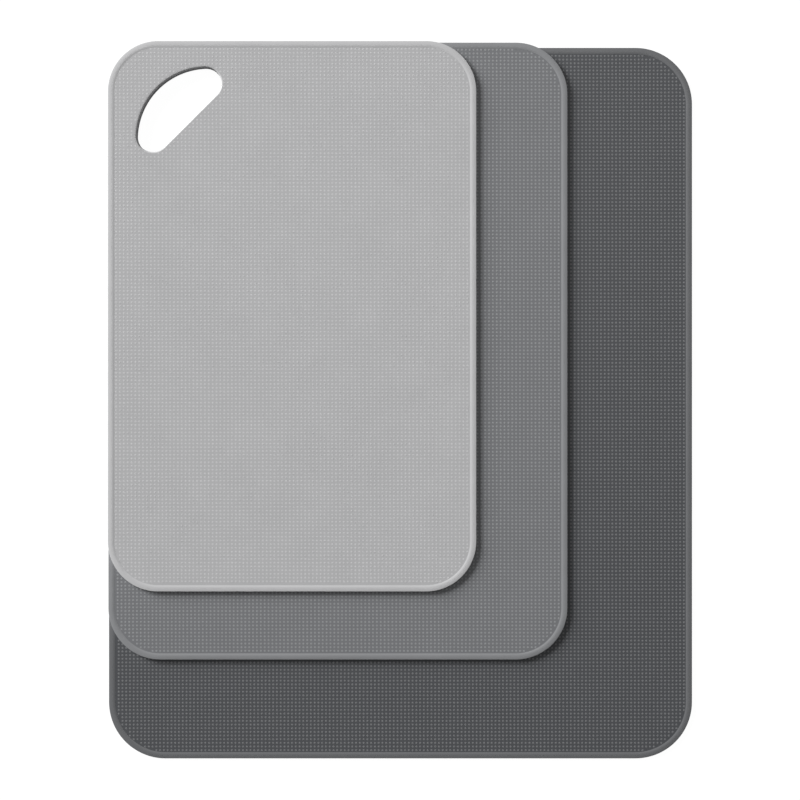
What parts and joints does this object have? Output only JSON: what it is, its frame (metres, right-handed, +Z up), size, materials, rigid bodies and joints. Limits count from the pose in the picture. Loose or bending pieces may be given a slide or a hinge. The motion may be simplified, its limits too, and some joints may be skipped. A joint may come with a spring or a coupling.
{
  "type": "flexible cutting mat set",
  "caption": "Nested rectangular flexible cutting mats with raised rims, dotted non-slip fields and a shared D-shaped hanging hole; their sides curl up to pour food off.",
  "frame": {"origin": "middle of the nested set's footprint, on the flat surface that the large mat lies on", "axes": "+Z up from the surface, +Y along the long sides towards the end with the hanging hole, +X towards the exposed right sides of the two lower mats"},
  "size_m": [0.32, 0.393, 0.006],
  "materials": {
    "light_grey_mat": "moulded, fine matte",
    "mid_grey_mat": "moulded, fine matte",
    "dark_grey_mat": "moulded, fine matte"
  },
  "bodies": {
    "large_mat_main": {"large_mat_main": "dark_grey_mat"},
    "large_mat_right_bend_1": {"large_mat_right_bend_1": "dark_grey_mat"},
    "large_mat_right_bend_2": {"large_mat_right_bend_2": "dark_grey_mat"},
    "large_mat_right_bend_3": {"large_mat_right_bend_3": "dark_grey_mat"},
    "large_mat_right_bend_4": {"large_mat_right_bend_4": "dark_grey_mat"},
    "large_mat_right_bend_5": {"large_mat_right_bend_5": "dark_grey_mat"},
    "large_mat_right_bend_6": {"large_mat_right_bend_6": "dark_grey_mat"},
    "large_mat_right_bend_7": {"large_mat_right_bend_7": "dark_grey_mat"},
    "large_mat_right_side": {"large_mat_right_side": "dark_grey_mat"},
    "medium_mat_main": {"medium_mat_main": "mid_grey_mat"},
    "medium_mat_right_bend_1": {"medium_mat_right_bend_1": "mid_grey_mat"},
    "medium_mat_right_bend_2": {"medium_mat_right_bend_2": "mid_grey_mat"},
    "medium_mat_right_bend_3": {"medium_mat_right_bend_3": "mid_grey_mat"},
    "medium_mat_right_bend_4": {"medium_mat_right_bend_4": "mid_grey_mat"},
    "medium_mat_right_bend_5": {"medium_mat_right_bend_5": "mid_grey_mat"},
    "medium_mat_right_bend_6": {"medium_mat_right_bend_6": "mid_grey_mat"},
    "medium_mat_right_bend_7": {"medium_mat_right_bend_7": "mid_grey_mat"},
    "medium_mat_right_side": {"medium_mat_right_side": "mid_grey_mat"},
    "small_mat_left_side": {"small_mat_left_side": "light_grey_mat"},
    "small_mat_left_bend_7": {"small_mat_left_bend_7": "light_grey_mat"},
    "small_mat_left_bend_6": {"small_mat_left_bend_6": "light_grey_mat"},
    "small_mat_left_bend_5": {"small_mat_left_bend_5": "light_grey_mat"},
    "small_mat_left_bend_4": {"small_mat_left_bend_4": "light_grey_mat"},
    "small_mat_left_bend_3": {"small_mat_left_bend_3": "light_grey_mat"},
    "small_mat_left_bend_2": {"small_mat_left_bend_2": "light_grey_mat"},
    "small_mat_left_bend_1": {"small_mat_left_bend_1": "light_grey_mat"},
    "small_mat_middle": {"small_mat_middle": "light_grey_mat"},
    "small_mat_right_bend_1": {"small_mat_right_bend_1": "light_grey_mat"},
    "small_mat_right_bend_2": {"small_mat_right_bend_2": "light_grey_mat"},
    "small_mat_right_bend_3": {"small_mat_right_bend_3": "light_grey_mat"},
    "small_mat_right_bend_4": {"small_mat_right_bend_4": "light_grey_mat"},
    "small_mat_right_bend_5": {"small_mat_right_bend_5": "light_grey_mat"},
    "small_mat_right_bend_6": {"small_mat_right_bend_6": "light_grey_mat"},
    "small_mat_right_bend_7": {"small_mat_right_bend_7": "light_grey_mat"},
    "small_mat_right_side": {"small_mat_right_side": "light_grey_mat"}
  },
  "joints": [
    {"name": "medium_mat_lift", "type": "slide", "parent": "large_mat_main", "child": "medium_mat_main", "axis": [0, 0, 1], "range_m": [0, 0.08]},
    {"name": "small_mat_lift", "type": "slide", "parent": "medium_mat_main", "child": "small_mat_middle", "axis": [0, 0, 1], "range_m": [0, 0.08]},
    {"name": "small_mat_left_curl", "type": "hinge", "parent": "small_mat_middle", "child": "small_mat_left_bend_1", "pos_m": [-0.06123, 0.046, 0.006], "axis": [0, 1, 0], "range_deg": [0, 10], "stiffness_Nm_per_rad": 0.29},
    {"name": "small_mat_left_curl_2", "type": "hinge", "parent": "small_mat_left_bend_1", "child": "small_mat_left_bend_2", "pos_m": [-0.0652, 0.046, 0.006], "axis": [0, 1, 0], "range_deg": [0, 10], "stiffness_Nm_per_rad": 0.29},
    {"name": "small_mat_left_curl_3", "type": "hinge", "parent": "small_mat_left_bend_2", "child": "small_mat_left_bend_3", "pos_m": [-0.06917, 0.046, 0.006], "axis": [0, 1, 0], "range_deg": [0, 10], "stiffness_Nm_per_rad": 0.29},
    {"name": "small_mat_left_curl_4", "type": "hinge", "parent": "small_mat_left_bend_3", "child": "small_mat_left_bend_4", "pos_m": [-0.07314, 0.046, 0.006], "axis": [0, 1, 0], "range_deg": [0, 10], "stiffness_Nm_per_rad": 0.29},
    {"name": "small_mat_left_curl_5", "type": "hinge", "parent": "small_mat_left_bend_4", "child": "small_mat_left_bend_5", "pos_m": [-0.07711, 0.046, 0.006], "axis": [0, 1, 0], "range_deg": [0, 10], "stiffness_Nm_per_rad": 0.29},
    {"name": "small_mat_left_curl_6", "type": "hinge", "parent": "small_mat_left_bend_5", "child": "small_mat_left_bend_6", "pos_m": [-0.08108, 0.046, 0.006], "axis": [0, 1, 0], "range_deg": [0, 10], "stiffness_Nm_per_rad": 0.29},
    {"name": "small_mat_left_curl_7", "type": "hinge", "parent": "small_mat_left_bend_6", "child": "small_mat_left_bend_7", "pos_m": [-0.08505, 0.046, 0.006], "axis": [0, 1, 0], "range_deg": [0, 10], "stiffness_Nm_per_rad": 0.29},
    {"name": "small_mat_left_curl_8", "type": "hinge", "parent": "small_mat_left_bend_7", "child": "small_mat_left_side", "pos_m": [-0.08902, 0.046, 0.006], "axis": [0, 1, 0], "range_deg": [0, 10], "stiffness_Nm_per_rad": 0.29},
    {"name": "small_mat_right_curl", "type": "hinge", "parent": "small_mat_middle", "child": "small_mat_right_bend_1", "pos_m": [-0.05727, 0.046, 0.006], "axis": [0, -1, 0], "range_deg": [0, 10], "stiffness_Nm_per_rad": 0.29},
    {"name": "small_mat_right_curl_2", "type": "hinge", "parent": "small_mat_right_bend_1", "child": "small_mat_right_bend_2", "pos_m": [-0.0533, 0.046, 0.006], "axis": [0, -1, 0], "range_deg": [0, 10], "stiffness_Nm_per_rad": 0.29},
    {"name": "small_mat_right_curl_3", "type": "hinge", "parent": "small_mat_right_bend_2", "child": "small_mat_right_bend_3", "pos_m": [-0.04933, 0.046, 0.006], "axis": [0, -1, 0], "range_deg": [0, 10], "stiffness_Nm_per_rad": 0.29},
    {"name": "small_mat_right_curl_4", "type": "hinge", "parent": "small_mat_right_bend_3", "child": "small_mat_right_bend_4", "pos_m": [-0.04536, 0.046, 0.006], "axis": [0, -1, 0], "range_deg": [0, 10], "stiffness_Nm_per_rad": 0.29},
    {"name": "small_mat_right_curl_5", "type": "hinge", "parent": "small_mat_right_bend_4", "child": "small_mat_right_bend_5", "pos_m": [-0.04139, 0.046, 0.006], "axis": [0, -1, 0], "range_deg": [0, 10], "stiffness_Nm_per_rad": 0.29},
    {"name": "small_mat_right_curl_6", "type": "hinge", "parent": "small_mat_right_bend_5", "child": "small_mat_right_bend_6", "pos_m": [-0.03742, 0.046, 0.006], "axis": [0, -1, 0], "range_deg": [0, 10], "stiffness_Nm_per_rad": 0.29},
    {"name": "small_mat_right_curl_7", "type": "hinge", "parent": "small_mat_right_bend_6", "child": "small_mat_right_bend_7", "pos_m": [-0.03345, 0.046, 0.006], "axis": [0, -1, 0], "range_deg": [0, 10], "stiffness_Nm_per_rad": 0.29},
    {"name": "small_mat_right_curl_8", "type": "hinge", "parent": "small_mat_right_bend_7", "child": "small_mat_right_side", "pos_m": [-0.02948, 0.046, 0.006], "axis": [0, -1, 0], "range_deg": [0, 10], "stiffness_Nm_per_rad": 0.29},
    {"name": "medium_mat_right_curl", "type": "hinge", "parent": "medium_mat_main", "child": "medium_mat_right_bend_1", "pos_m": [0.04506, 0.027, 0.004], "axis": [0, -1, 0], "range_deg": [0, 10], "stiffness_Nm_per_rad": 0.44},
    {"name": "medium_mat_right_curl_2", "type": "hinge", "parent": "medium_mat_right_bend_1", "child": "medium_mat_right_bend_2", "pos_m": [0.04819, 0.027, 0.004], "axis": [0, -1, 0], "range_deg": [0, 10], "stiffness_Nm_per_rad": 0.44},
    {"name": "medium_mat_right_curl_3", "type": "hinge", "parent": "medium_mat_right_bend_2", "child": "medium_mat_right_bend_3", "pos_m": [0.05131, 0.027, 0.004], "axis": [0, -1, 0], "range_deg": [0, 10], "stiffness_Nm_per_rad": 0.44},
    {"name": "medium_mat_right_curl_4", "type": "hinge", "parent": "medium_mat_right_bend_3", "child": "medium_mat_right_bend_4", "pos_m": [0.05444, 0.027, 0.004], "axis": [0, -1, 0], "range_deg": [0, 10], "stiffness_Nm_per_rad": 0.44},
    {"name": "medium_mat_right_curl_5", "type": "hinge", "parent": "medium_mat_right_bend_4", "child": "medium_mat_right_bend_5", "pos_m": [0.05756, 0.027, 0.004], "axis": [0, -1, 0], "range_deg": [0, 10], "stiffness_Nm_per_rad": 0.44},
    {"name": "medium_mat_right_curl_6", "type": "hinge", "parent": "medium_mat_right_bend_5", "child": "medium_mat_right_bend_6", "pos_m": [0.06069, 0.027, 0.004], "axis": [0, -1, 0], "range_deg": [0, 10], "stiffness_Nm_per_rad": 0.44},
    {"name": "medium_mat_right_curl_7", "type": "hinge", "parent": "medium_mat_right_bend_6", "child": "medium_mat_right_bend_7", "pos_m": [0.06381, 0.027, 0.004], "axis": [0, -1, 0], "range_deg": [0, 10], "stiffness_Nm_per_rad": 0.44},
    {"name": "medium_mat_right_curl_8", "type": "hinge", "parent": "medium_mat_right_bend_7", "child": "medium_mat_right_side", "pos_m": [0.06694, 0.027, 0.004], "axis": [0, -1, 0], "range_deg": [0, 10], "stiffness_Nm_per_rad": 0.44},
    {"name": "large_mat_right_curl", "type": "hinge", "parent": "large_mat_main", "child": "large_mat_right_bend_1", "pos_m": [0.09564, -0.0015, 0.002], "axis": [0, -1, 0], "range_deg": [0, 10], "stiffness_Nm_per_rad": 0.38},
    {"name": "large_mat_right_curl_2", "type": "hinge", "parent": "large_mat_right_bend_1", "child": "large_mat_right_bend_2", "pos_m": [0.09992, -0.0015, 0.002], "axis": [0, -1, 0], "range_deg": [0, 10], "stiffness_Nm_per_rad": 0.38},
    {"name": "large_mat_right_curl_3", "type": "hinge", "parent": "large_mat_right_bend_2", "child": "large_mat_right_bend_3", "pos_m": [0.1042, -0.0015, 0.002], "axis": [0, -1, 0], "range_deg": [0, 10], "stiffness_Nm_per_rad": 0.38},
    {"name": "large_mat_right_curl_4", "type": "hinge", "parent": "large_mat_right_bend_3", "child": "large_mat_right_bend_4", "pos_m": [0.10848, -0.0015, 0.002], "axis": [0, -1, 0], "range_deg": [0, 10], "stiffness_Nm_per_rad": 0.38},
    {"name": "large_mat_right_curl_5", "type": "hinge", "parent": "large_mat_right_bend_4", "child": "large_mat_right_bend_5", "pos_m": [0.11277, -0.0015, 0.002], "axis": [0, -1, 0], "range_deg": [0, 10], "stiffness_Nm_per_rad": 0.38},
    {"name": "large_mat_right_curl_6", "type": "hinge", "parent": "large_mat_right_bend_5", "child": "large_mat_right_bend_6", "pos_m": [0.11705, -0.0015, 0.002], "axis": [0, -1, 0], "range_deg": [0, 10], "stiffness_Nm_per_rad": 0.38},
    {"name": "large_mat_right_curl_7", "type": "hinge", "parent": "large_mat_right_bend_6", "child": "large_mat_right_bend_7", "pos_m": [0.12133, -0.0015, 0.002], "axis": [0, -1, 0], "range_deg": [0, 10], "stiffness_Nm_per_rad": 0.38},
    {"name": "large_mat_right_curl_8", "type": "hinge", "parent": "large_mat_right_bend_7", "child": "large_mat_right_side", "pos_m": [0.12561, -0.0015, 0.002], "axis": [0, -1, 0], "range_deg": [0, 10], "stiffness_Nm_per_rad": 0.38}
  ],
  "couplings": [
    {"joint": "small_mat_left_curl_2", "follows": "small_mat_left_curl", "ratio": 1},
    {"joint": "small_mat_left_curl_3", "follows": "small_mat_left_curl", "ratio": 1},
    {"joint": "small_mat_left_curl_4", "follows": "small_mat_left_curl", "ratio": 1},
    {"joint": "small_mat_left_curl_5", "follows": "small_mat_left_curl", "ratio": 1},
    {"joint": "small_mat_left_curl_6", "follows": "small_mat_left_curl", "ratio": 1},
    {"joint": "small_mat_left_curl_7", "follows": "small_mat_left_curl", "ratio": 1},
    {"joint": "small_mat_left_curl_8", "follows": "small_mat_left_curl", "ratio": 1},
    {"joint": "small_mat_right_curl_2", "follows": "small_mat_right_curl", "ratio": 1},
    {"joint": "small_mat_right_curl_3", "follows": "small_mat_right_curl", "ratio": 1},
    {"joint": "small_mat_right_curl_4", "follows": "small_mat_right_curl", "ratio": 1},
    {"joint": "small_mat_right_curl_5", "follows": "small_mat_right_curl", "ratio": 1},
    {"joint": "small_mat_right_curl_6", "follows": "small_mat_right_curl", "ratio": 1},
    {"joint": "small_mat_right_curl_7", "follows": "small_mat_right_curl", "ratio": 1},
    {"joint": "small_mat_right_curl_8", "follows": "small_mat_right_curl", "ratio": 1},
    {"joint": "medium_mat_right_curl_2", "follows": "medium_mat_right_curl", "ratio": 1},
    {"joint": "medium_mat_right_curl_3", "follows": "medium_mat_right_curl", "ratio": 1},
    {"joint": "medium_mat_right_curl_4", "follows": "medium_mat_right_curl", "ratio": 1},
    {"joint": "medium_mat_right_curl_5", "follows": "medium_mat_right_curl", "ratio": 1},
    {"joint": "medium_mat_right_curl_6", "follows": "medium_mat_right_curl", "ratio": 1},
    {"joint": "medium_mat_right_curl_7", "follows": "medium_mat_right_curl", "ratio": 1},
    {"joint": "medium_mat_right_curl_8", "follows": "medium_mat_right_curl", "ratio": 1},
    {"joint": "large_mat_right_curl_2", "follows": "large_mat_right_curl", "ratio": 1},
    {"joint": "large_mat_right_curl_3", "follows": "large_mat_right_curl", "ratio": 1},
    {"joint": "large_mat_right_curl_4", "follows": "large_mat_right_curl", "ratio": 1},
    {"joint": "large_mat_right_curl_5", "follows": "large_mat_right_curl", "ratio": 1},
    {"joint": "large_mat_right_curl_6", "follows": "large_mat_right_curl", "ratio": 1},
    {"joint": "large_mat_right_curl_7", "follows": "large_mat_right_curl", "ratio": 1},
    {"joint": "large_mat_right_curl_8", "follows": "large_mat_right_curl", "ratio": 1}
  ]
}
